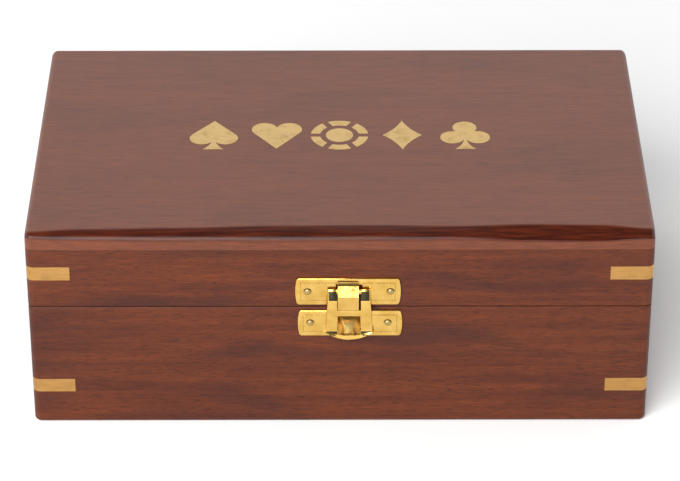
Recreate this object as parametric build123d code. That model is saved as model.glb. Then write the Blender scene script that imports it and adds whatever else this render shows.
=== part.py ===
from build123d import *
import math
import os

# A hinged wooden poker chip case with brass corner strips, brass inlays in the lid and a
# swinging brass hasp. Frame: origin at the centre of the underside, +X to the right,
# +Y to the back, +Z up. The front, with the latch, faces -Y. The lid is closed.

# ---------------------------------------------------------------- driving dimensions, mm
case_width = 230.0
case_depth = 142.0
case_height = 82.7
seam_z = 51.4  # middle of the gap between base and lid
seam_gap = 0.3
wall = 9.0
top_board = 6.5
bottom_board = 4.5
corner_radius = 2.75  # the four upright corners
foot_round = 1.5  # bottom edge of the base
seam_bevel = 0.35  # edges along the seam
joint_bevel = 0.25  # fine line between lid walls and top board
top_round = 2.0  # upper edges of the top board
front_slope_back = 5.4  # the hand-sanded front edge reaches this far back
front_slope_down = 2.7  # and this far down

strip_leg = 16.0  # brass corner strip, along each side
strip_height = 5.6
strip_thickness = 1.2
base_strip_z = 13.9
lid_strip_z = 63.2

chip_wells = 5
divider = 3.0
long_divider = 4.0
divider_top = 45.0
card_divider_top = 33.0  # below the finger scoops
housing_depth = 2.0  # dado that a divider's end sits in
scoop_radius = 11.0  # finger scoop over each chip well
felt = 0.8

hinge_x = 62.0  # each hinge's middle, left and right
hinge_length = 25.0
hinge_inset = 2.6  # hinge axis in front of the back face
knuckle_radius = 2.0
knuckle_relief = 2.3
middle_knuckle = 8.2
knuckle_gap = 0.3
leaf = 1.1
leaf_reach = 5.8  # hinge axis to the leaf's front edge
pin_radius = 0.9
pin_clearance = 0.07
chamfer_degrees = 50.5  # back edges, so that the lid stops at 101 degrees

inlay_thickness = 1.2
inlay_pitch = 24.0
inlay_y = 1.4
inlay_radius = 11.0

latch_x = 3.3  # the hand-fitted latch sits right of the middle
plate_thickness = 0.9
plate_bevel = 0.25
plate_bow = 1.2  # bulge of a plate's short ends
stamped_depth = 0.2  # of the line inside a plate's edge
lid_plate_size = (39.4, 10.6)
lid_plate_z = 58.2
catch_plate_size = (38.8, 10.5)
catch_plate_z = 44.95
catch_base = 7.8  # square foot of the pyramid catch
catch_tip = 0.3
catch_z = 44.0
catch_proud = 4.8
nail_head = 1.15
nail_dome = 0.6
nail_shank = 0.55
nail_length = 5.0  # from the front face into the wood
nail_seat = 0.45  # the head's underside, in front of the front face

tongue_width = 7.8
tongue_thickness = 0.8
tongue_slot = 4.7  # half width of the notch that the tongue was cut from
pivot_out = 1.95  # hasp axis, in front of the front face
pivot_z = 59.4
hasp_face = 3.4
hasp_thickness = 0.8
hasp_back = 1.15
hasp_bar_radius = 1.5
hasp_roll_radius = 0.85

# ---------------------------------------------------------------- derived values
half_w, half_d = case_width / 2, case_depth / 2
inner_w, inner_d = case_width - 2 * wall, case_depth - 2 * wall
base_top, lid_bottom = seam_z - seam_gap / 2, seam_z + seam_gap / 2
lid_wall_top = case_height - top_board
well = (inner_w - (chip_wells - 1) * divider) / chip_wells
divider_front = inner_d / 2 - well - long_divider  # front face of the long divider
hinge_y = half_d - hinge_inset
sides = {"left": -1, "right": 1}
ends = {"front": -1, "rear": 1}


# ---------------------------------------------------------------- helpers
def write(name, shape):
    """Save one node; a list of solids becomes one group."""
    solids = shape if isinstance(shape, list) else [shape]
    kept = [s for each in solids for s in each.solids()]
    export_step(kept[0] if len(kept) == 1 else Compound(children=kept), f"parts/{name}.step")


def block(x0, x1, y0, y1, z0, z1):
    """A box between two corners."""
    centre = Pos((x0 + x1) / 2, (y0 + y1) / 2, (z0 + z1) / 2)
    return centre * Box(x1 - x0, y1 - y0, z1 - z0)


def rounded_block(width, depth, z0, z1, radius):
    """An upright block with rounded corners."""
    return extrude(Plane.XY.offset(z0) * RectangleRounded(width, depth, radius), z1 - z0)


def front(out=0.0):
    """Sketch plane on the front face: x to the right, y up, extruding outwards."""
    return Plane.XZ.offset(half_d + out)


def side_profile():
    """Sketch plane across the latch: x is the distance out from the front face, y is height."""
    return Plane(origin=(latch_x, -half_d, 0), x_dir=(0, -1, 0), z_dir=(-1, 0, 0))


def across_latch(sketch, width):
    """A profile across the latch made into a solid, centred on it."""
    return extrude(side_profile() * sketch, amount=width / 2, both=True)


def across_case(points, half_length):
    """A (y, z) polygon made into a bar along X."""
    plane = Plane(origin=(0, 0, 0), x_dir=(0, 1, 0), z_dir=(1, 0, 0))
    return extrude(plane * make_face(Polyline(*points, close=True)), half_length, both=True)


# ---------------------------------------------------------------- mitred wooden frames
def mitre_prisms(z0, z1):
    """Four upright prisms that meet on the corner diagonals, one for each wall."""
    far_x, far_y, cut = half_w + 1, half_d + 1, wall + 6
    near_x, near_y = far_x - cut, far_y - cut
    plans = {
        "front": [(-far_x, -far_y), (far_x, -far_y), (near_x, -near_y), (-near_x, -near_y)],
        "right": [(far_x, -far_y), (far_x, far_y), (near_x, near_y), (near_x, -near_y)],
        "back": [(far_x, far_y), (-far_x, far_y), (-near_x, near_y), (near_x, near_y)],
        "left": [(-far_x, far_y), (-far_x, -far_y), (-near_x, -near_y), (-near_x, near_y)],
    }
    sketch_plane = Plane.XY.offset(z0)
    return {
        name: extrude(sketch_plane * make_face(Polyline(*plan, close=True)), z1 - z0)
        for name, plan in plans.items()
    }


def corner_strip(end, side, z0):
    """A brass strip let into the outside of one corner, bent round it."""
    band = rounded_block(case_width, case_depth, z0, z0 + strip_height, corner_radius)
    band -= rounded_block(
        case_width - 2 * strip_thickness,
        case_depth - 2 * strip_thickness,
        z0,
        z0 + strip_height,
        corner_radius - strip_thickness,
    )
    corner = Pos(sides[side] * half_w, ends[end] * half_d, z0 + strip_height / 2)
    return band & corner * Box(2 * strip_leg, 2 * strip_leg, strip_height)


def corner_strips(z0):
    return {
        f"corner_strip_{end}_{side}": corner_strip(end, side, z0) for end in ends for side in sides
    }


def back_chamfer(direction):
    """The wedge taken off a back edge: -1 from the base, +1 from the lid."""
    run = hinge_inset + 1
    fall = run * math.tan(math.radians(chamfer_degrees))
    outer_y = hinge_y + run
    wedge = [(hinge_y, seam_z), (outer_y, seam_z + direction * fall), (outer_y, seam_z)]
    return across_case(wedge, half_w + 1)


# ---------------------------------------------------------------- hinges and their screws
def along_hinge(radius, x0, x1):
    """A rod on the hinge axis between two places."""
    return Pos((x0 + x1) / 2, hinge_y, seam_z) * Rot(0, 90, 0) * Cylinder(radius, x1 - x0)


def leaf_plate(direction, centre_x):
    """The flat of one hinge leaf, flush with its seam face."""
    z0, z1 = sorted((seam_z + direction * seam_gap / 2, seam_z + direction * (seam_gap / 2 + leaf)))
    x0, x1 = centre_x - hinge_length / 2, centre_x + hinge_length / 2
    return block(x0, x1, hinge_y - leaf_reach, hinge_y, z0, z1)


def knuckle_stretches(direction, centre_x):
    """Where along X this leaf's knuckles lie: two outer ones on the base, one on the lid."""
    if direction > 0:
        return [(centre_x - middle_knuckle / 2, centre_x + middle_knuckle / 2)]
    inner = middle_knuckle / 2 + knuckle_gap
    return [
        (centre_x - hinge_length / 2, centre_x - inner),
        (centre_x + inner, centre_x + hinge_length / 2),
    ]


def screw_places(centre_x):
    return [(centre_x + offset, hinge_y - 4.1) for offset in (-8.4, 8.4)]


def screw_blank(x, y, direction):
    """A countersunk screw driven away from the seam, and the room it takes in leaf and wood."""
    head, shank, length = 1.4, 0.75, 6.5
    profile = Polyline((0, 0), (head, 0), (shank, leaf), (shank, length), (0, length), close=True)
    turn = Rot(0, 0, 0) if direction > 0 else Rot(180, 0, 0)
    face = seam_z + direction * seam_gap / 2
    return Pos(x, y, face) * turn * revolve(Plane.XZ * make_face(profile), Axis.Z)


def screw(x, y, direction):
    """The slotted wood screw itself, its head flush with the leaf."""
    slot_width, slot_depth = 0.35, 0.3
    slot = Box(3.0, slot_width, 2 * slot_depth)
    return screw_blank(x, y, direction) - Pos(x, y, seam_z + direction * seam_gap / 2) * slot


def hinge_leaf(direction, centre_x):
    """One leaf with its knuckles, notched round the other leaf's knuckles."""
    own = knuckle_stretches(direction, centre_x)
    others = knuckle_stretches(-direction, centre_x)
    shape = leaf_plate(direction, centre_x)
    for x0, x1 in others:
        shape -= along_hinge(knuckle_relief, x0 - knuckle_gap, x1 + knuckle_gap)
    for x0, x1 in own:
        shape += along_hinge(knuckle_radius, x0, x1)
    bore = pin_radius + (pin_clearance if direction > 0 else 0)
    shape -= along_hinge(bore, centre_x - hinge_length, centre_x + hinge_length)
    for x, y in screw_places(centre_x):
        shape -= screw_blank(x, y, direction)
    return shape


def hinge_pin(centre_x):
    return along_hinge(pin_radius, centre_x - hinge_length / 2 - 0.3, centre_x + hinge_length / 2 + 0.3)


def hinge_mortises(direction):
    """Wood taken away for both hinges' leaves, barrels and screws."""
    room = []
    for side in sides.values():
        x = side * hinge_x
        room.append(leaf_plate(direction, x))
        room.append(along_hinge(knuckle_relief, x - hinge_length / 2 - 0.5, x + hinge_length / 2 + 0.5))
        room += [screw_blank(sx, sy, direction) for sx, sy in screw_places(x)]
    return room


# ---------------------------------------------------------------- latch
def plate_outline(size, grow=0.0):
    """A plate with straight long sides and bowed short ends."""
    x, z = size[0] / 2 - plate_bow + grow, size[1] / 2 + grow
    line = Polyline((-x, z), (x, z)) + ThreePointArc((x, z), (x + plate_bow, 0), (x, -z))
    line += Polyline((x, -z), (-x, -z)) + ThreePointArc((-x, -z), (-x - plate_bow, 0), (-x, z))
    return make_face(line)


def embossed_plate(size, z):
    """A brass plate with a stamped line running round inside its edge."""
    place = Pos(latch_x, z)
    plate = extrude(front() * place * plate_outline(size), plate_thickness)
    plate = chamfer(plate.faces().sort_by(Axis.Y)[0].edges(), plate_bevel)
    line = plate_outline(size, -1.7) - plate_outline(size, -2.3)
    return plate - extrude(front(plate_thickness - stamped_depth) * place * line, stamped_depth)


def nail_places(z, half_spread):
    return [(latch_x - half_spread, z), (latch_x + half_spread, z)]


def on_front(x, z):
    """A place on the front face whose Z axis points outwards."""
    return Pos(x, -half_d, z) * Rot(90, 0, 0)


def nail(x, z):
    """A round-headed brass nail driven into the front."""
    outline = Polyline(
        (0, nail_seat + nail_dome), (nail_head, nail_seat), (nail_shank, nail_seat),
        (nail_shank, -nail_length), (0, -nail_length), close=True
    )
    return on_front(x, z) * revolve(Plane.XZ * make_face(outline), Axis.Z)


def nail_room(x, z):
    """The shank's hole, and the dimple in the plate that the head sits in."""
    dimple, mouth = nail_head + 0.2, plate_thickness + 0.5
    outline = Polyline(
        (0, mouth), (dimple, mouth), (dimple, nail_seat),
        (nail_shank, nail_seat), (nail_shank, -nail_length), (0, -nail_length), close=True
    )
    return on_front(x, z) * revolve(Plane.XZ * make_face(outline), Axis.Z)


lid_nails = nail_places(58.6, 15.25)
catch_nails = nail_places(44.95, 14.3)


def latch_hinge_plate():
    """The lid's plate, with the tongue cut from it and curled out over the hasp's bar."""
    plate = embossed_plate(lid_plate_size, lid_plate_z)
    slot_top = lid_plate_z + lid_plate_size[1] / 2 - 1.9
    plate -= block(
        latch_x - tongue_slot, latch_x + tongue_slot, -half_d - 2, -half_d + 1, 40, slot_top
    )
    root, crown = tongue_thickness / 2, 64.15
    path = FilletPolyline(
        (root, slot_top), (root, crown), (3.9, crown), (4.3, 58.3), (3.7, 52.4),
        radius=[1.7, 1.7, 2.0],
    )
    tongue = across_latch(trace(path, tongue_thickness), tongue_width)
    plate += tongue
    for x, z in lid_nails:
        plate -= nail_room(x, z)
    return plate


def latch_catch_plate():
    """The base's plate with the raised pyramid that the hasp drops over."""
    plate = embossed_plate(catch_plate_size, catch_plate_z)
    foot = front(plate_thickness) * Pos(latch_x, catch_z) * Rectangle(catch_base, catch_base)
    tip = front(catch_proud) * Pos(latch_x, catch_z) * Rectangle(catch_tip, catch_tip)
    plate += loft([foot, tip]) + extrude(foot, -0.3)
    for x, z in catch_nails:
        plate -= nail_room(x, z)
    return plate


def hasp_outline(inset=0.0):
    """The hasp seen from the front: widening downwards, with a curved lower edge."""
    top, low = 7.9 - inset, 9.15 - inset
    line = Polyline((-low, 42.6), (-top, 57.0), (-top, 61.0), (top, 61.0), (top, 57.0), (low, 42.6))
    line += ThreePointArc((low, 42.6), (0, 39.3 + inset), (-low, 42.6))
    return Pos(latch_x, 0) * make_face(line)


def latch_hasp():
    """The swinging hasp: a pressed plate with folded sides, two windows and a rolled bar."""
    section = make_face(Polyline(
        (hasp_back, 59.5), (2.2, 60.15), (hasp_face, 56.5), (hasp_face, 42.7), (4.5, 39.6),
        (4.5, 39.0), (3.7, 39.0), (hasp_face - hasp_thickness, 42.0), (hasp_back, 42.0), close=True
    ))
    hollow = make_face(Polyline(
        (0.5, 58.7), (1.8, 59.1), (hasp_face - hasp_thickness, 56.3),
        (hasp_face - hasp_thickness, 41.5), (0.5, 41.5), close=True
    ))
    outside = extrude(front() * hasp_outline(), 8)
    inside = extrude(front() * hasp_outline(hasp_thickness), 8)
    body = across_latch(section, 24) & outside
    body -= across_latch(hollow, 24) & inside
    axis_place = Pos(latch_x, -half_d - pivot_out, pivot_z) * Rot(0, 90, 0)
    body += axis_place * Cylinder(hasp_roll_radius, 2 * 7.9)
    window = tongue_width / 2 + 0.45
    for z0, z1 in ((51.9, 62.0), (41.4, 49.4)):
        body -= block(latch_x - window, latch_x + window, -half_d - 8, -half_d, z0, z1)
    body += axis_place * Cylinder(hasp_bar_radius, 2 * window + 0.6)
    return body


# ---------------------------------------------------------------- brass inlays of the lid
def teardrop(x, y, radius, tip_x, tip_y):
    """A disc drawn out to a point."""
    distance = math.hypot(x - tip_x, y - tip_y)
    heading = math.atan2(y - tip_y, x - tip_x)
    spread = math.asin(radius / distance)
    reach = math.sqrt(distance**2 - radius**2)
    touch = [
        (tip_x + reach * math.cos(heading + turn), tip_y + reach * math.sin(heading + turn))
        for turn in (spread, -spread)
    ]
    wedge = make_face(Polyline((tip_x, tip_y), touch[0], (x, y), touch[1], close=True))
    return wedge + Pos(x, y) * Circle(radius)


def stem(top, bottom, half_foot):
    """The flared foot of a spade or a club."""
    line = Line((-0.7, top), (0.7, top))
    line += ThreePointArc((0.7, top), (1.7, bottom * 0.72), (half_foot, bottom))
    line += Line((half_foot, bottom), (-half_foot, bottom))
    line += ThreePointArc((-half_foot, bottom), (-1.7, bottom * 0.72), (-0.7, top))
    return make_face(line)


def heart():
    return teardrop(-4.7, 4.4, 4.9, 0, -10.2) + teardrop(4.7, 4.4, 4.9, 0, -10.2)


def spade():
    leaf_shape = teardrop(-4.5, -2.2, 4.7, 0, 11.0) + teardrop(4.5, -2.2, 4.7, 0, 11.0)
    return leaf_shape + stem(-1.0, -10.6, 4.0)


def club():
    centres = [(0, 5.6), (-4.9, -1.8), (4.9, -1.8)]
    shape = make_face(Polyline(*centres, close=True)) + stem(-1.0, -10.6, 4.0)
    for x, y in centres:
        shape += Pos(x, y) * Circle(4.6)
    return shape


def diamond():
    across, up, waist = 7.6, inlay_radius, 0.43
    corners = [(0, up), (across, 0), (0, -up), (-across, 0)]
    line = Curve()
    for start, end in zip(corners, corners[1:] + corners[:1]):
        middle = (waist * (start[0] + end[0]), waist * (start[1] + end[1]))
        line += ThreePointArc(start, middle, end)
    return make_face(line)


def chip_roundel():
    """A chip seen flat: six edge blocks round a centre disc."""
    rim = Circle(inlay_radius) - Circle(7.4)
    for turn in range(0, 180, 60):
        rim -= Rot(0, 0, turn) * Rectangle(2 * inlay_radius + 2, 2.4)
    return rim + Circle(5.2)


inlays = {
    "inlay_spade": spade(),
    "inlay_heart": heart(),
    "inlay_chip_roundel": chip_roundel(),
    "inlay_diamond": diamond(),
    "inlay_club": club(),
}


def inlay_pieces():
    """Each motif at its place in the top board, flush with it."""
    pieces = {}
    for n, (name, outline) in enumerate(inlays.items()):
        place = Plane.XY.offset(case_height - inlay_thickness) * Pos((n - 2) * inlay_pitch, inlay_y)
        pieces[name] = extrude(place * outline, inlay_thickness)
    return pieces


# ---------------------------------------------------------------- wooden pieces
def top_panel():
    """The lid's top board: a slope sanded along the front, then every upper edge rounded."""
    panel = rounded_block(case_width, case_depth, lid_wall_top, case_height, corner_radius)
    slope = front_slope_down / front_slope_back
    panel -= across_case(
        [
            (-half_d - 1, case_height + 1),
            (-half_d + front_slope_back + 1 / slope, case_height + 1),
            (-half_d - 1, case_height - front_slope_down - slope),
        ],
        half_w + 1,
    )
    lowest = case_height - front_slope_down - 0.1
    return fillet(panel.edges().filter_by_position(Axis.Z, lowest, case_height), top_round)


def base_ring():
    ring = rounded_block(case_width, case_depth, 0, base_top, corner_radius)
    ring = fillet(ring.faces().sort_by(Axis.Z)[0].edges(), foot_round)
    ring = chamfer(ring.faces().sort_by(Axis.Z)[-1].edges(), seam_bevel)
    ring -= block(-inner_w / 2, inner_w / 2, -inner_d / 2, inner_d / 2, -1, base_top + 1)
    rebate_x, rebate_y = (inner_w + wall) / 2, (inner_d + wall) / 2
    return ring - block(-rebate_x, rebate_x, -rebate_y, rebate_y, -1, bottom_board)


def lid_ring():
    ring = rounded_block(case_width, case_depth, lid_bottom, lid_wall_top, corner_radius)
    ring = chamfer(ring.faces().sort_by(Axis.Z)[0].edges(), seam_bevel)
    ring = chamfer(ring.faces().sort_by(Axis.Z)[-1].edges(), joint_bevel)
    return ring - block(-inner_w / 2, inner_w / 2, -inner_d / 2, inner_d / 2, lid_bottom - 1, 90)


def chip_divider(n):
    """The nth wall between two chip wells, from the back wall to the long divider."""
    x = (n - chip_wells / 2) * (well + divider)
    y0, y1 = divider_front + long_divider - 1.0, inner_d / 2 + housing_depth
    return block(x - divider / 2, x + divider / 2, y0, y1, bottom_board, divider_top)


def card_divider():
    y0, y1 = -inner_d / 2 - housing_depth, divider_front + 1.0
    return block(-divider / 2, divider / 2, y0, y1, bottom_board, card_divider_top)


def well_centres():
    return [(n - (chip_wells - 1) / 2) * (well + divider) for n in range(chip_wells)]


def lengthwise_divider():
    """The wall behind the card wells, with a finger scoop at each chip well."""
    half = inner_w / 2 + housing_depth
    y1 = divider_front + long_divider
    wood = block(-half, half, divider_front, y1, bottom_board, divider_top)
    for x in well_centres():
        wood -= Pos(x, divider_front, divider_top) * Rot(90, 0, 0) * Cylinder(scoop_radius, 20)
    return chamfer(wood.edges().filter_by(GeomType.CIRCLE), 0.5)


def floor_felt(x0, x1, y0, y1):
    edge = 0.4
    return block(x0 + edge, x1 - edge, y0 + edge, y1 - edge, bottom_board, bottom_board + felt)


# ---------------------------------------------------------------- build and write every piece
os.makedirs("parts", exist_ok=True)

base_strips = corner_strips(base_strip_z)
lid_strips = corner_strips(lid_strip_z)
chip_dividers = {f"chip_divider_{n}": chip_divider(n) for n in range(1, chip_wells)}
long_wall = lengthwise_divider()
card_wall = card_divider()
tray = list(chip_dividers.values()) + [card_wall]

base_wood = base_ring() - back_chamfer(-1)
for taken in list(base_strips.values()) + hinge_mortises(-1) + tray:
    base_wood -= taken
base_wood -= block(
    -inner_w / 2 - housing_depth, inner_w / 2 + housing_depth,
    divider_front, divider_front + long_divider, bottom_board, divider_top
)
for x, z in catch_nails:
    base_wood -= nail_room(x, z)
for name, prism in mitre_prisms(-1, base_top + 1).items():
    write(f"base_{name}_wall", base_wood & prism)

panel_x, panel_y = (inner_w + wall) / 2, (inner_d + wall) / 2
write("base_bottom_panel", block(-panel_x, panel_x, -panel_y, panel_y, 0, bottom_board))
for name, strip in base_strips.items():
    write(f"base_{name}", strip)

for taken in tray:
    long_wall -= taken
write("long_divider", long_wall)
for name, shape in chip_dividers.items():
    write(name, shape)
write("card_divider", card_wall)

chip_y = (divider_front + long_divider, inner_d / 2)
write("chip_well_felts", [floor_felt(x - well / 2, x + well / 2, *chip_y) for x in well_centres()])
card_x = (divider / 2, inner_w / 2)
card_y = (-inner_d / 2, divider_front)
write("card_well_felts", [
    floor_felt(*card_x, *card_y), floor_felt(-card_x[1], -card_x[0], *card_y)
])

lid_wood = lid_ring() - back_chamfer(1)
for taken in list(lid_strips.values()) + hinge_mortises(1):
    lid_wood -= taken
for x, z in lid_nails:
    lid_wood -= nail_room(x, z)
for name, prism in mitre_prisms(lid_bottom - 1, lid_wall_top + 1).items():
    write(f"lid_{name}_wall", lid_wood & prism)
for name, strip in lid_strips.items():
    write(f"lid_{name}", strip)

panel = top_panel()
for name, piece in inlay_pieces().items():
    panel -= piece
    write(name, piece)
write("lid_top_panel", panel)
lining_edge = 0.5
write("lid_lining", block(
    lining_edge - inner_w / 2, inner_w / 2 - lining_edge,
    lining_edge - inner_d / 2, inner_d / 2 - lining_edge, lid_wall_top - felt, lid_wall_top
))

for direction, body in ((-1, "base"), (1, "lid")):
    for side, sign in sides.items():
        write(f"hinge_{side}_{body}_leaf", hinge_leaf(direction, sign * hinge_x))
    write(f"{body}_hinge_screws", [
        screw(x, y, direction) for sign in sides.values() for x, y in screw_places(sign * hinge_x)
    ])
for side, sign in sides.items():
    write(f"hinge_{side}_pin", hinge_pin(sign * hinge_x))

write("latch_hinge_plate", latch_hinge_plate())
write("latch_plate_nails", [nail(x, z) for x, z in lid_nails])
write("latch_catch_plate", latch_catch_plate())
write("latch_catch_nails", [nail(x, z) for x, z in catch_nails])
write("latch_hasp", latch_hasp())
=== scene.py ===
import math

import bmesh
import bpy
from mathutils import Matrix, Vector, noise


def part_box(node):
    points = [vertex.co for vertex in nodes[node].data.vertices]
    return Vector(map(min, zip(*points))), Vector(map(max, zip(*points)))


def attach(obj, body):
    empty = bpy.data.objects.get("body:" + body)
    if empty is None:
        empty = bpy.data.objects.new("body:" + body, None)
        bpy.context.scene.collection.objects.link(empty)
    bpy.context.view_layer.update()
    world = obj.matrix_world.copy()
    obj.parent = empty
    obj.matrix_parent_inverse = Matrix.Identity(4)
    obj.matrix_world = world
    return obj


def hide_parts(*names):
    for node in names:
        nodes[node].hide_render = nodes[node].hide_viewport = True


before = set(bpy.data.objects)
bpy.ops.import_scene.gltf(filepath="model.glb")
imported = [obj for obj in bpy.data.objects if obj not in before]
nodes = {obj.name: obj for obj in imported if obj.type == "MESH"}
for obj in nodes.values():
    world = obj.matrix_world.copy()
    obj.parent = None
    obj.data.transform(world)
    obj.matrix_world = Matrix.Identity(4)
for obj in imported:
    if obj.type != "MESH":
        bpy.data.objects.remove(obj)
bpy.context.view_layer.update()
mm = 0.001


class Sum:
    """One output in a node tree, so that shader sums are written as sums."""

    def __init__(self, tree, socket):
        self.tree, self.socket = tree, socket

    def _math(self, operation, *values):
        inputs = dict(enumerate(values))
        return self.tree.add("ShaderNodeMath", {"operation": operation}, inputs)

    def __add__(self, other):
        return self._math("ADD", self, other)

    def __radd__(self, other):
        return self._math("ADD", other, self)

    def __sub__(self, other):
        return self._math("SUBTRACT", self, other)

    def __rsub__(self, other):
        return self._math("SUBTRACT", other, self)

    def __mul__(self, other):
        return self._math("MULTIPLY", self, other)

    def __rmul__(self, other):
        return self._math("MULTIPLY", other, self)

    def __abs__(self):
        return self._math("ABSOLUTE", self)

    def most(self, other):
        return self._math("MAXIMUM", self, other)

    def root(self):
        return self._math("SQRT", self)


class Tree:
    """A node tree being built; its outputs are Sums."""

    def __init__(self, node_tree):
        self.nodes, self.links = node_tree.nodes, node_tree.links

    def plug(self, node, key, value):
        socket = node.inputs[key]
        if isinstance(value, Sum):
            self.links.new(value.socket, socket)
        else:
            socket.default_value = value

    def add(self, kind, settings, inputs, out=0):
        node = self.nodes.new(kind)
        for key, value in settings.items():
            setattr(node, key, value)
        for key, value in inputs.items():
            self.plug(node, key, value)
        return Sum(self, node.outputs[out])

    def parts(self, vector):
        """The x, y and z of a vector."""
        node = self.add("ShaderNodeSeparateXYZ", {}, {"Vector": vector}).socket.node
        return [Sum(self, socket) for socket in node.outputs]

    def between(self, value, low, high, to_low=0.0, to_high=1.0):
        """The value's stretch from low to high, spread over a new range and held at its ends."""
        return self.add("ShaderNodeMapRange", {"clamp": True}, {
            "Value": value, "From Min": low, "From Max": high,
            "To Min": to_low, "To Max": to_high,
        })

    def mix(self, factor, one, other):
        return self.add("ShaderNodeMix", {"data_type": "RGBA"}, {
            "Factor": factor, 6: one, 7: other,
        }, 2)


class Finish(Tree):
    """A material being mixed, and the values set on its Principled shader."""

    def __init__(self, name, **plain):
        self.material = bpy.data.materials.new(name)
        self.material.use_nodes = True
        super().__init__(self.material.node_tree)
        self.shader = self.nodes["Principled BSDF"]
        self.set(**plain)

    def set(self, **sockets):
        for key, value in sockets.items():
            self.plug(self.shader, key.replace("_", " "), value)

    def place(self, move=(0, 0, 0), turn=(0, 0, 0)):
        """Object coordinates, moved and turned."""
        where = self.add("ShaderNodeTexCoord", {}, {}, "Object")
        return self.add("ShaderNodeMapping", {}, {
            "Vector": where, "Location": move, "Rotation": turn,
        })

    def scaled(self, where, x, y, z):
        """Coordinates counted in lengths of x, y and z metres."""
        return self.add("ShaderNodeVectorMath", {"operation": "DIVIDE"}, {0: where, 1: (x, y, z)})

    def noise(self, where, scale=1.0, detail=2.0, roughness=0.5, distortion=0.0):
        return self.add("ShaderNodeTexNoise", {}, {
            "Vector": where, "Scale": scale, "Detail": detail, "Roughness": roughness,
            "Distortion": distortion,
        })

    def bump(self, height, strength, distance, normal=None):
        inputs = {"Height": height, "Strength": strength, "Distance": distance}
        if normal:
            inputs["Normal"] = normal
        return self.add("ShaderNodeBump", {}, inputs)


# ---------------------------------------------------------------- the stand, camera and light
# White paper lies under the case and stands up behind and beside it; the ceiling and the room in
# front are dark. One big soft lamp stands in front on the left, so the shadow falls behind the
# case on the right. The camera looks down on the front through a long lens.
camera_distance = 1.2233
camera_pitch = math.radians(31.87)
camera_turn = math.radians(-0.174)
camera_aim = Vector((0.00019, 0.0, 0.03606))
bpy.ops.object.camera_add()
camera = bpy.context.object
camera.name = "camera"
camera.data.sensor_width = 36.0
camera.data.lens = 166.04
camera.data.clip_start = 0.05
back_off = Vector((0, -math.cos(camera_pitch), math.sin(camera_pitch))) * camera_distance
camera.location = camera_aim + Matrix.Rotation(camera_turn, 3, "Z") @ back_off
camera.rotation_euler = (math.pi / 2 - camera_pitch, 0, camera_turn)
bpy.context.scene.camera = camera
bpy.context.scene.view_settings.view_transform = "Standard"

bpy.ops.mesh.primitive_plane_add(size=12)
table = bpy.context.object
table.name = "table"
paper = Finish("white_paper", Base_Color=(0.92, 0.92, 0.92, 1), Roughness=0.9)
paper.set(Specular_IOR_Level=0.1)
table.data.materials.append(paper.material)


def lamp(name, azimuth, elevation, distance, size, watts):
    """A square soft lamp aimed at the case; azimuth 0 is in front and -90 is on the left."""
    across, up = math.radians(azimuth), math.radians(elevation)
    aim = Vector((0, 0, 0.04))
    away = Vector((
        math.sin(across) * math.cos(up), -math.cos(across) * math.cos(up), math.sin(up)
    ))
    bpy.ops.object.light_add(type="AREA", location=aim + away * distance)
    light = bpy.context.object
    light.name = name
    light.data.size = size
    light.data.energy = watts
    light.rotation_euler = away.to_track_quat("Z", "Y").to_euler()


lamp("key_lamp", -24, 34, 1.9, 1.5, 56)

world = bpy.data.worlds.new("studio")
bpy.context.scene.world = world
world.use_nodes = True
room = Tree(world.node_tree)
aside, behind, above = room.parts(room.add("ShaderNodeTexCoord", {}, {}, "Generated"))
around = room.between(behind, 0.25, 0.6).most(room.between(abs(aside), 0.45, 0.8))
paper_walls = around * room.between(above, 0.80, 0.62)
dark_room, lit_paper = 0.22, 1.05
room.plug(room.nodes["Background"], "Color", (1, 1, 1, 1))
room.plug(room.nodes["Background"], "Strength", dark_room + lit_paper * paper_walls)


# ---------------------------------------------------------------- the wood
# Reddish-brown hardwood with fine straight grain, short dark pores and soft purple-brown
# clouds, under a satin lacquer. Every board has its own stretch of grain along its length.
red_brown = (0.086, 0.0190, 0.0070, 1)
orange_brown = (0.138, 0.0305, 0.0085, 1)
purple_brown = (0.044, 0.0125, 0.0092, 1)
dark_brown = (0.028, 0.0066, 0.0040, 1)
# painted light: the paler brown that the lid's top is painted with
painted_light_brown = (0.175, 0.042, 0.0125, 1)
edge_dark = (0.030, 0.0042, 0.0018, 1)
edge_brown = (0.085, 0.0130, 0.0035, 1)
along = {"x": (0, 0, 0), "y": (0, 0, math.pi / 2)}


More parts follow.
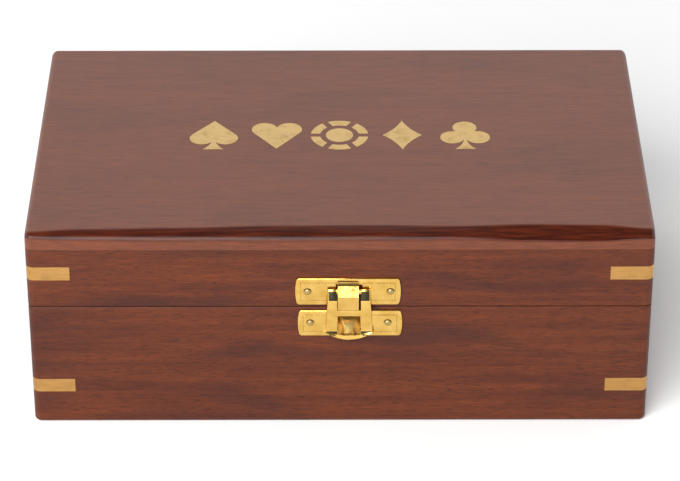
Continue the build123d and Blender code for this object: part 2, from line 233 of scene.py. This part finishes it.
def rosewood(name, grain, board, sanded_and_painted_light=False):
    """The wood of one board. The board's number picks its stretch of grain. The hand-sanded board
    is painted paler, as painted light on a top that the lamp lights less than the walls' fronts,
    and has one more coat of lacquer except on its dark sanded edge."""
    wood = Finish(name, Specular_IOR_Level=0.22)
    shift = (board * 1.37, board * 0.71, board * 0.53)
    where = wood.place(shift, along[grain])

    def grained(length, width, detail, roughness, distortion=0.0):
        stretched = wood.scaled(where, length, width, width)
        return wood.noise(stretched, 1, detail, roughness, distortion)

    clouds = grained(0.075, 0.020, 2, 0.5, 0.5)
    bands = grained(0.12, 0.0040, 4, 0.7, 0.3)
    fibre = grained(0.0085, 0.00045, 4, 0.7, 0.2)
    pores = grained(0.0032, 0.00042, 2, 0.5)
    glow = grained(0.055, 0.016, 2, 0.5, 0.6)

    colour = wood.mix(wood.between(bands, 0.36, 0.66), red_brown, orange_brown)
    colour = wood.mix(wood.between(clouds, 0.50, 0.70, 0, 0.85), colour, purple_brown)
    colour = wood.mix(wood.between(glow, 0.56, 0.74, 0, 0.55), colour, orange_brown)
    colour = wood.mix(wood.between(fibre, 0.38, 0.72, 0, 0.62), colour, dark_brown)
    pore = wood.between(pores, 0.56, 0.66, 0, 0.50)
    colour = wood.mix(pore, colour, dark_brown)
    roughness = 0.36 + 0.12 * fibre
    if sanded_and_painted_light:
        sanded = wood.add("ShaderNodeAttribute", {"attribute_name": "sanded"}, {}, "Fac")
        streaks = wood.between(grained(0.018, 0.0011, 3, 0.6), 0.38, 0.66)
        # painted light: the top is painted paler than the walls, whose fronts the lamp lights more
        colour = wood.mix(wood.between(fibre, 0.35, 0.65, 0.72, 0.22), colour, painted_light_brown)
        colour = wood.mix(sanded, colour, wood.mix(streaks, edge_dark, edge_brown))
        roughness = roughness - 0.12 * sanded
        wood.set(Coat_Weight=0.34 * (1 - sanded), Coat_Roughness=0.32)
    wood.set(Base_Color=colour, Roughness=roughness)
    grooves = wood.bump(fibre - pore, 0.25, 0.06 * mm)
    wood.set(Normal=wood.bump(clouds, 0.15, 0.8 * mm, grooves))
    return wood.material


def paint(node, material):
    """A CAD piece gets its finish."""
    mesh = nodes[node].data
    mesh.materials.clear()
    mesh.materials.append(material)


boards = {
    "base_front_wall": "x", "base_back_wall": "x", "base_left_wall": "y", "base_right_wall": "y",
    "lid_front_wall": "x", "lid_back_wall": "x", "lid_left_wall": "y", "lid_right_wall": "y",
    "base_bottom_panel": "x", "long_divider": "x", "card_divider": "y",
}
boards.update({f"chip_divider_{n}": "y" for n in range(1, 5)})
board_numbers = {node: number for number, node in enumerate(boards, 1)}
for node, grain in boards.items():
    paint(node, rosewood(f"wood_{node}", grain, board_numbers[node]))


def piece(name, shape, body, material, slot, *stands_for):
    """A new piece from a bmesh: it rides on its body and stands for its CAD nodes."""
    mesh = bpy.data.meshes.new(name)
    shape.to_mesh(mesh)
    shape.free()
    mesh.shade_smooth()
    mesh.set_sharp_from_angle(angle=math.radians(35))
    mesh.materials.append(material)
    obj = bpy.data.objects.new(name, mesh)
    bpy.context.collection.objects.link(obj)
    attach(obj, body)
    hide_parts(*stands_for)
    return obj


# ---------------------------------------------------------------- the lid's top board
# Its front edge was sanded by hand: a soft round on the left that turns into a flat slope with
# a sharp lower edge on the right. The lacquer lies dark and thick on it. The face is a hair below
# the inlays'. The board was cut with the lid's front wall, so that its grain runs on into it.
board_low, board_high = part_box("lid_top_panel")
half_width, half_depth = board_high.x, board_high.y
board_face = board_high.z - 0.05 * mm
corner_radius = 2.75 * mm
top_round = 2.0 * mm
# place from the left end (-1) to the right (1), reach back in mm, slope in degrees and the
# radius in mm that the slope ends in
hand_sanding = [
    (-1.00, 2.0, 20, 1.6), (-0.84, 3.8, 16, 2.6), (-0.53, 4.7, 14, 3.0), (-0.18, 6.3, 9, 3.2),
    (0.15, 6.4, 8, 3.0), (0.38, 5.8, 12, 2.2), (0.60, 6.8, 22, 1.2), (0.82, 6.2, 26, 0.8),
    (1.00, 3.5, 26, 1.0),
]


def sanded_edge(x):
    """Reach, slope and lower radius of the front edge at x."""
    place = min(max(x / half_width, -1.0), 1.0)
    for here, there in zip(hand_sanding, hand_sanding[1:]):
        if place <= there[0]:
            break
    part = (place - here[0]) / (there[0] - here[0])
    part = part * part * (3 - 2 * part)
    reach, slope, radius = [a + (b - a) * part for a, b in zip(here[1:], there[1:])]
    return reach * mm, math.radians(slope), radius * mm


def rounded_in(radius, from_end):
    """How far a round of this radius has drawn the surface in, near its end."""
    left = radius - min(from_end, radius)
    return radius - math.sqrt(radius**2 - left**2)


def board_section(x):
    """Points (y, z, how far sanded) round the board at x, from the front's foot over the top."""
    end = half_width - abs(x)
    inwards = rounded_in(corner_radius, end)
    front, back = -half_depth + inwards, half_depth - inwards
    top = board_face - rounded_in(top_round, end)
    reach, slope, radius = sanded_edge(x)
    run = (reach - radius * (1 - math.sin(slope))) / math.cos(slope)
    centre_y = front + radius
    centre_z = top - run * math.sin(slope) - radius * math.cos(slope)
    points = [(front, board_low.z, 0)]
    steps = 8
    for n in range(steps + 1):
        turn = math.pi / 2 + (slope - math.pi / 2) * n / steps
        y, z = centre_y - radius * math.sin(turn), centre_z + radius * math.cos(turn)
        points.append((y, z, min(1.0, 2.2 * n / steps)))
    crease, soft = front + reach, 0.7 * mm
    on_slope = (crease - soft * math.cos(slope), top - soft * math.sin(slope))
    points.append((*on_slope, 1))
    points.append((
        (on_slope[0] + 2 * crease + crease + soft) / 4, (on_slope[1] + 3 * top) / 4, 0.7
    ))
    points += [(crease + soft, top, 0), (crease + 2 * soft, top, 0)]
    points.append((back - top_round - 0.5 * mm, top, 0))
    for n in range(7):
        turn = math.pi / 12 * n
        points.append((
            back - top_round + top_round * math.sin(turn),
            top - top_round + top_round * math.cos(turn), 0,
        ))
    points.append((back, board_low.z, 0))
    return points


def hand_sanded_board():
    shape = bmesh.new()
    sanded = shape.verts.layers.float.new("sanded")
    ends = [corner_radius * (1 - math.cos(math.pi / 14 * n)) for n in range(8)]
    inner = half_width - corner_radius - 0.4 * mm
    middle = [inner * (n / 36 - 1) for n in range(73)]
    stations = [e - half_width for e in ends] + middle + [half_width - e for e in reversed(ends)]
    loops = []
    for x in stations:
        loop = []
        for y, z, amount in board_section(x):
            vert = shape.verts.new((x, y, z))
            vert[sanded] = amount
            loop.append(vert)
        loops.append(loop)
    for one, other in zip(loops, loops[1:]):
        for n in range(len(one)):
            shape.faces.new((one[n - 1], one[n], other[n], other[n - 1]))
    shape.faces.new(loops[0])
    shape.faces.new(reversed(loops[-1]))
    bmesh.ops.recalc_face_normals(shape, faces=shape.faces)
    return shape


lid_board = piece(
    "lid_board", hand_sanded_board(), "lid",
    rosewood("wood_lid_top", "x", board_numbers["lid_front_wall"], sanded_and_painted_light=True),
    "rosewood", "lid_top_panel",
)


# ---------------------------------------------------------------- brass strips and inlays
# Pale brass let into the wood and sanded flush with it, so that fine scratches run along it and
# brown stains have stayed. The inlays in the lid are paler than the strips at the corners.
strip_dull, strip_bright = (0.43, 0.225, 0.066, 1), (0.56, 0.315, 0.106, 1)
inlay_dull, inlay_bright = (0.55, 0.36, 0.135, 1), (0.72, 0.50, 0.220, 1)
stain_brown = (0.34, 0.19, 0.06, 1)


def sanded_brass(name, dull, bright):
    brass = Finish(name, Metallic=1.0)
    where = brass.place()
    lines = brass.noise(brass.scaled(where, 0.0062, 0.00019, 0.00019), 1, 3, 0.6)
    stains = brass.noise(where, 210, 3, 0.6)
    colour = brass.mix(brass.between(lines, 0.35, 0.65), dull, bright)
    colour = brass.mix(brass.between(stains, 0.52, 0.75, 0, 0.5), colour, stain_brown)
    brass.set(Base_Color=colour, Roughness=brass.between(lines, 0.3, 0.7, 0.30, 0.46))
    brass.set(Normal=brass.bump(lines, 0.35, 0.04 * mm))
    return brass.material


strip_brass = sanded_brass("strip_brass", strip_dull, strip_bright)
inlay_brass = sanded_brass("inlay_brass", inlay_dull, inlay_bright)
for name in nodes:
    if "corner_strip" in name:
        paint(name, strip_brass)
    if name.startswith("inlay_"):
        paint(name, inlay_brass)


# ---------------------------------------------------------------- latch plates
# Two pressed plates of polished yellow brass, whose short ends bow out a little. Each has a line
# stamped inside its edge, drawn darker, and a dimple round each nail with painted shade in it,
# darkest on its upper side under the rim.
plate_thickness, plate_rounding = 0.9 * mm, 0.3 * mm
plate_bow, plate_corner = 0.7 * mm, 0.5 * mm
line_from_end, line_from_side = 2.1 * mm, 1.9 * mm
latch_x = sum(corner.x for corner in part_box("latch_hasp")) / 2
# width, height, height of the middle, and how far the plate sits off the latch's middle
plate_sizes = {
    "lid": (38.9 * mm, 11.4 * mm, 58.6 * mm, -0.4 * mm),
    "base": (38.7 * mm, 11.1 * mm, 44.8 * mm, 0.35 * mm),
}
nail_nodes = {"lid": "latch_plate_nails", "base": "latch_catch_nails"}
deep_yellow = (0.66, 0.39, 0.085, 1)
pale_yellow = (0.78, 0.51, 0.145, 1)
# the dark of the stamped lines, and the painted shade in the dimples round the nails
dark_line_and_shade_brown = (0.07, 0.035, 0.012, 1)


def nail_places(body):
    """Half the distance between a plate's nails, their height, and the radius of a head."""
    low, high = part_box(nail_nodes[body])
    head = (high.z - low.z) / 2
    return (high.x - low.x) / 2 - head, (low.z + high.z) / 2, head


def polished_brass(name, body=None):
    """Polished brass; body picks the plate that the stamped line and the dimples belong to."""
    brass = Finish(name, Metallic=1.0)
    where = brass.place()
    waves = brass.noise(where, 260, 2, 0.5)
    specks = brass.noise(where, 1900, 2, 0.6)
    colour = brass.mix(brass.between(waves, 0.3, 0.7), deep_yellow, pale_yellow)
    normal = brass.bump(waves, 0.25, 0.2 * mm)
    if body:
        width, height, middle, off = plate_sizes[body]
        spread, nail_z, head = nail_places(body)
        x, _, z = brass.parts(where)
        past_line_x = abs(x - latch_x - off) - (width / 2 - line_from_end)
        past_line_z = abs(z - middle) - (height / 2 - line_from_side)
        from_line = abs(past_line_x.most(past_line_z))
        worn = brass.between(specks, 0.35, 0.55)
        stamped = brass.between(from_line, 0.28 * mm, 0.08 * mm) * worn
        aside, up = abs(x - latch_x) - spread, z - nail_z
        from_nail = (aside * aside + up * up).root()
        # painted shade in each nail's dimple, darkest on its upper side under the rim
        shaded_dimple = brass.between(abs(from_nail - head - 0.15 * mm), 0.4 * mm, 0.15 * mm)
        shaded_dimple = shaded_dimple * brass.between(up, -0.3 * mm, 0.7 * mm, 0.25, 1)
        colour = brass.mix((0.4 * stamped).most(0.95 * shaded_dimple), colour, dark_line_and_shade_brown)
        normal = brass.bump(1 - stamped.most(shaded_dimple), 0.5, 0.15 * mm, normal)
    roughness = brass.between(specks, 0.3, 0.7, 0.10, 0.22)
    brass.set(Base_Color=colour, Roughness=roughness, Normal=normal)
    return brass.material


latch_brass = polished_brass("latch_brass")
plate_brass = {body: polished_brass(f"{body}_plate_brass", body) for body in plate_sizes}


def on_front(x, out, z):
    """A place on the front: x from the latch's middle, the distance out of the wood, height."""
    return Vector((latch_x + x, -half_depth - out, z))


def plate_outline(body):
    """The plate's outline (x, z), from its lower right corner up and round to the lower left."""
    width, height, middle, off = plate_sizes[body]
    right = []
    for n in range(-6, 7):
        up = n / 6
        x = width / 2 - plate_bow * up * up
        z = up * height / 2
        if abs(n) == 6:
            right.append((x - plate_corner, middle + z))
            z -= math.copysign(plate_corner, z)
        right.append((x, middle + z))
        if n == 6:
            right[-2:] = reversed(right[-2:])
    left = [(-x, z) for x, z in reversed(right)]
    return [(x + off, z) for x, z in right + left]


def plate(body, notch=None):
    """One plate with its front edges rounded; notch is (half width, top) of a cut from below."""
    shape = bmesh.new()
    outline = plate_outline(body)
    if notch:
        half, top = notch
        foot = outline[-1][1]
        outline += [(-half, foot), (-half, top), (half, top), (half, foot)]
    back = shape.faces.new([shape.verts.new(on_front(x, 0, z)) for x, z in outline])
    made = bmesh.ops.extrude_face_region(shape, geom=[back])["geom"]
    raised = [v for v in made if isinstance(v, bmesh.types.BMVert)]
    bmesh.ops.translate(shape, verts=raised, vec=(0, -plate_thickness, 0))
    rim = [e for e in shape.edges if all(v in raised for v in e.verts)]
    bmesh.ops.bevel(shape, geom=rim, offset=plate_rounding, segments=3, profile=0.5,
                    affect="EDGES", material=-1)
    bmesh.ops.recalc_face_normals(shape, faces=shape.faces)
    return shape


notch_half, notch_top = 4.7 * mm, 61.6 * mm
piece("hinge_plate", plate("lid", (notch_half, notch_top)), "lid", plate_brass["lid"],
      "polished_brass", "latch_hinge_plate")


# ---------------------------------------------------------------- the tongue
# It was cut out of the lid's plate, comes up out of the notch, curls over the hasp's bar and
# bends back towards its tip. It sits a little left of the latch's middle.
tongue_half, tongue_thickness, tongue_off = 3.85 * mm, 0.8 * mm, -0.3 * mm
# (distance out of the wood, height), both in mm, from the root to the tip
tongue_bends = [(0.9, 61.2), (0.9, 63.2), (1.05, 63.3), (2.7, 62.1), (4.65, 58.5), (3.9, 52.4)]


def tongue_strip():
    """The outer face follows the bends, and the thickness goes inwards."""
    shape = bmesh.new()
    path = [(out * mm, z * mm) for out, z in tongue_bends]
    left, right = tongue_off - tongue_half, tongue_off + tongue_half
    rows = []
    for n, (out, z) in enumerate(path):
        before, after = path[max(n - 1, 0)], path[min(n + 1, len(path) - 1)]
        run = Vector((after[0] - before[0], after[1] - before[1])).normalized()
        inner = (out + run.y * tongue_thickness, z - run.x * tongue_thickness)
        ring = ((left, (out, z)), (right, (out, z)), (right, inner), (left, inner))
        rows.append([shape.verts.new(on_front(x, *place)) for x, place in ring])
    for one, other in zip(rows, rows[1:]):
        for n in range(4):
            shape.faces.new((one[n - 1], one[n], other[n], other[n - 1]))
    shape.faces.new(rows[0])
    shape.faces.new(reversed(rows[-1]))
    bmesh.ops.recalc_face_normals(shape, faces=shape.faces)
    return shape


def eased(obj, width):
    """Sharp edges rounded a little, so that they catch the light."""
    bevel = obj.modifiers.new("eased", "BEVEL")
    bevel.width, bevel.segments = width, 2
    bevel.limit_method, bevel.angle_limit = "ANGLE", math.radians(40)


tongue = piece("hinge_tongue", tongue_strip(), "lid", latch_brass, "polished_brass",
               "latch_hinge_plate")
tongue.data.set_sharp_from_angle(angle=math.radians(20))
eased(tongue, 0.15 * mm)


# ---------------------------------------------------------------- the catch
# A pyramid pressed up out of the base's plate, for the hasp to drop over. Its sides are duller
# than the plate, and its ridges are a little rounded and bright.
catch_middle, catch_peak = 44.0 * mm, 43.5 * mm
catch_half, catch_tip_half = 4.1 * mm, 0.15 * mm
catch_sunk, catch_waist, catch_proud = 0.5 * mm, 1.0 * mm, 5.6 * mm
ridge_rounding = 0.18 * mm
catch_finish = Finish("worn_brass", Metallic=1.0, Base_Color=(0.94, 0.65, 0.20, 1), Roughness=0.30)


def catch():
    """The base's plate and its pyramid."""
    shape = plate("base")
    corners = ((-1, -1), (1, -1), (1, 1), (-1, 1))

    def square(half, out, middle):
        return [shape.verts.new(on_front(i * half, out, middle + j * half)) for i, j in corners]

    foot = square(catch_half, catch_sunk, catch_middle)
    waist = square(catch_half, catch_waist, catch_middle)
    top = square(catch_tip_half, catch_proud, catch_peak)
    sides = [shape.faces.new(foot), shape.faces.new(top)]
    for one, other in ((foot, waist), (waist, top)):
        for n in range(4):
            sides.append(shape.faces.new((one[n - 1], one[n], other[n], other[n - 1])))
    for side in sides:
        side.material_index = 1
    ridges = [
        e for e in shape.edges
        if any(v in waist for v in e.verts) and any(v in top for v in e.verts)
    ]
    # material 0, the plate's own brass, is the ridges' finish
    bmesh.ops.bevel(shape, geom=ridges, offset=ridge_rounding, segments=2, profile=0.5,
                    affect="EDGES", material=0)
    bmesh.ops.recalc_face_normals(shape, faces=shape.faces)
    return shape


catch_plate = piece("catch_plate", catch(), "base", plate_brass["base"], "polished_brass",
                    "latch_catch_plate")
catch_plate.data.materials.append(catch_finish.material)


# ---------------------------------------------------------------- the hasp
# A plate of sheet brass: its upper part slopes back to a bar, its sides are folded back, and its
# foot flares out to a lip for the finger. One window lets the tongue through and one the pyramid.
# Its shoulders and the corners of its lip are painted green-black, as painted shade and painted
# dark reflection.
hasp_face, hasp_foot_face, hasp_back = 3.4 * mm, 3.0 * mm, 1.15 * mm
hasp_top, shoulder_out, side_top = 60.1 * mm, 1.75 * mm, 59.3 * mm
knee, narrowing_end = 55.8 * mm, 57.0 * mm
lip_start, lip_end, lip_flare = 42.6 * mm, 39.3 * mm, 0.6 * mm
half_at_top, half_at_lip = 7.9 * mm, 8.8 * mm
fold, hasp_thickness = 0.5 * mm, 0.5 * mm
lip_drop = lip_start - lip_end
lip_radius = (half_at_lip**2 + lip_drop**2) / (2 * lip_drop)
tongue_window_foot, catch_window_top = 51.9 * mm, 49.4 * mm
window_half = 4.35 * mm
# Across the hasp, 0 is the middle, 1 the start of the fold, 1.5 its end and 2 the rear edge of
# the folded side. The lip is counted from 0 at its start to 1 at the edge.
window_edge, fold_end, window_in_lip = 0.52, 1.5, 0.42
hasp_right = [window_edge / 2, window_edge, 0.8, 1, 1.17, 1.33, fold_end, 2]
hasp_columns = [-across for across in reversed(hasp_right)] + [0] + hasp_right
hasp_heights = [60.1, 59.3, 58.4, 57, 56.1, 55.4, 53.6, 51.9, 49.4, 47.0, 44.8, 43.4]
hasp_rows = [(z * mm, 0) for z in hasp_heights]
hasp_rows += [(lip_start, lip) for lip in (0, window_in_lip, 0.62, 0.82, 1)]
shoulder_rows = (1, 2, 3)
bar_radius, bar_out, bar_z = 1.05 * mm, 1.95 * mm, 59.4 * mm
# painted shade and painted dark reflection for the hasp's shoulders and lip corners
painted_shade_black = (0.030, 0.024, 0.007, 1)
painted_shade_finish = Finish("painted_shade_brass", Metallic=0.6, Base_Color=painted_shade_black, Roughness=0.35)


def hasp_point(across, z, lip):
    """A point of the hasp's outer face, at height z and this far down the lip."""
    up = min(1.0, (z - lip_start) / (narrowing_end - lip_start))
    half = half_at_lip + (half_at_top - half_at_lip) * up
    x = min(abs(across), 1.0) * (half - fold)
    if abs(across) <= window_edge:
        x = abs(across) / window_edge * window_half
    below_knee = min(1.0, (z - lip_start) / (knee - lip_start))
    face = hasp_foot_face + (hasp_face - hasp_foot_face) * below_knee
    if z > knee:
        face -= (hasp_face - shoulder_out) * (z - knee) / (hasp_top - knee)
    turn = min(1.0, max(abs(across) - 1, 0) * 2) * math.pi / 2
    x += fold * math.sin(turn)
    out = face - fold * (1 - math.cos(turn))
    if abs(across) > fold_end:
        back = min(hasp_back + max(z - side_top, 0) * 0.5, out)
        out += (back - out) * (abs(across) - fold_end) * 2
    else:
        out += lip * lip_flare
    drop = lip_drop - lip_radius + math.sqrt(lip_radius**2 - min(x, half_at_lip) ** 2)
    return on_front(math.copysign(x, across), out, z - lip * drop)


def hasp():
    """The outer face of the hasp as a grid, with the windows left open."""
    shape = bmesh.new()
    grid = [[shape.verts.new(hasp_point(c, z, lip)) for c in hasp_columns] for z, lip in hasp_rows]
    for i, (here, below) in enumerate(zip(hasp_rows, hasp_rows[1:])):
        in_window = below[0] >= tongue_window_foot or (
            here[0] <= catch_window_top and below[1] <= window_in_lip)
        for j in range(len(hasp_columns) - 1):
            outer = max(abs(hasp_columns[j]), abs(hasp_columns[j + 1]))
            if in_window and outer <= window_edge:
                continue
            face = shape.faces.new((
                grid[i][j], grid[i + 1][j], grid[i + 1][j + 1], grid[i][j + 1]
            ))
            in_lip_corner = below[1] == window_in_lip and outer > window_edge
            # the shoulders and the lip's corners get the painted shade
            if outer <= 1 and (i in shoulder_rows or in_lip_corner):
                face.material_index = 1
    return shape


pressed = piece("hasp_plate", hasp(), "hasp", latch_brass, "polished_brass", "latch_hasp")
pressed.data.materials.append(painted_shade_finish.material)
sheet_metal = pressed.modifiers.new("thickness", "SOLIDIFY")
sheet_metal.thickness, sheet_metal.offset = hasp_thickness, -1
eased(pressed, 0.12 * mm)

rod = bmesh.new()
bmesh.ops.create_cone(
    rod, cap_ends=True, segments=32, radius1=bar_radius, radius2=bar_radius,
    depth=2 * (window_half + 0.2 * mm),
    matrix=Matrix.Translation(on_front(0, bar_out, bar_z)) @ Matrix.Rotation(math.pi / 2, 4, "Y"),
)
piece("hasp_bar", rod, "hasp", latch_brass, "polished_brass", "latch_hasp")


# ---------------------------------------------------------------- latch nails
# Two round-headed brass nails hold each plate: low, dull domes on shanks that go into the wood.
dome_flatness, head_sunk = 0.5, 0.1 * mm
shank_radius, shank_length, shank_depth = 0.55 * mm, 5.6 * mm, 2.1 * mm
nail_finish = Finish("nail_brass", Metallic=1.0, Base_Color=(0.42, 0.32, 0.13, 1), Roughness=0.42)


def nails(name, body):
    shape = bmesh.new()
    spread, z, head = nail_places(body)
    along_y = Matrix.Rotation(math.pi / 2, 4, "X")
    flat = Matrix.Diagonal((1, dome_flatness, 1, 1))
    for x in (-spread, spread):
        seat = Matrix.Translation(on_front(x, plate_thickness - head_sunk, z))
        bmesh.ops.create_uvsphere(
            shape, u_segments=24, v_segments=12, radius=head, matrix=seat @ flat @ along_y)
        shank = Matrix.Translation(on_front(x, -shank_depth, z))
        bmesh.ops.create_cone(
            shape, cap_ends=True, segments=16, radius1=shank_radius, radius2=shank_radius,
            depth=shank_length, matrix=shank @ along_y)
    piece(name, shape, body, nail_finish.material, "polished_brass", nail_nodes[body])


nails("plate_nails", "lid")
nails("catch_nails", "base")


# ---------------------------------------------------------------- butt hinges
# Two butt hinges of the same polished brass at the back, each with two leaves, a pin and
# countersunk screws.
for name in nodes:
    if name.startswith("hinge_") or name.endswith("hinge_screws"):
        paint(name, latch_brass)


# ---------------------------------------------------------------- felt
# Pads of dark green felt, cut to the wells and glued to their floors, and one wide piece glued
# under the lid. They lie almost flat, a little uneven where the glue took.
felt_dark = (0.006, 0.035, 0.018, 1)
felt_light = (0.018, 0.085, 0.045, 1)
felt_thickness, unevenness = 0.72 * mm, 0.08 * mm
felt_cell = 4 * mm
gap = 0.4 * mm  # left free beside a divider
felt = Finish("green_felt", Roughness=0.95)
fuzz = felt.noise(felt.place(), 1500, 3, 0.7)
felt.set(Base_Color=felt.mix(fuzz, felt_dark, felt_light))
felt.set(Normal=felt.bump(fuzz, 0.6, 0.4 * mm))


def felt_pad(name, low, high, up, body, node, rests_on):
    """A pad of felt between two corners in plan; up is 1 if its face points up, -1 if down."""
    size = high - low
    columns = max(2, round(size.x / felt_cell))
    rows = max(2, round(size.y / felt_cell))
    shape = bmesh.new()
    face = high.z if up > 0 else low.z

    def lain(i, j):
        sunk = unevenness * (1 + noise.noise(Vector((i, j, low.x * 100)) * 0.7))
        return low.x + size.x * i / columns, low.y + size.y * j / rows, face - up * sunk

    grid = [[shape.verts.new(lain(i, j)) for j in range(rows + 1)] for i in range(columns + 1)]
    for i in range(columns):
        for j in range(rows):
            shape.faces.new((grid[i][j], grid[i + 1][j], grid[i + 1][j + 1], grid[i][j + 1]))
    if up < 0:
        bmesh.ops.reverse_faces(shape, faces=shape.faces)
    pad = piece(name, shape, body, felt.material, "lining", node)
    thick = pad.modifiers.new("thickness", "SOLIDIFY")
    thick.thickness, thick.offset = felt_thickness, -1


chip_low, chip_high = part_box("chip_well_felts")
well_sides = [chip_low.x]
for n in range(1, 5):
    well_sides += [side.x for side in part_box(f"chip_divider_{n}")]
well_sides.append(chip_high.x)
for n in range(5):
    left = well_sides[2 * n] + (gap if n > 0 else 0)
    right = well_sides[2 * n + 1] - (gap if n < 4 else 0)
    felt_pad(f"chip_felt_{n + 1}", Vector((left, chip_low.y, chip_low.z)),
             Vector((right, chip_high.y, chip_high.z)), 1, "base", "chip_well_felts",
             "base_bottom_panel")
card_low, card_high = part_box("card_well_felts")
middle_low, middle_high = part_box("card_divider")
felt_pad("card_felt_left", card_low, Vector((middle_low.x - gap, card_high.y, card_high.z)), 1,
         "base", "card_well_felts", "base_bottom_panel")
felt_pad("card_felt_right", Vector((middle_high.x + gap, card_low.y, card_low.z)), card_high, 1,
         "base", "card_well_felts", "base_bottom_panel")
felt_pad("lid_felt", *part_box("lid_lining"), -1, "lid", "lid_lining", lid_board)
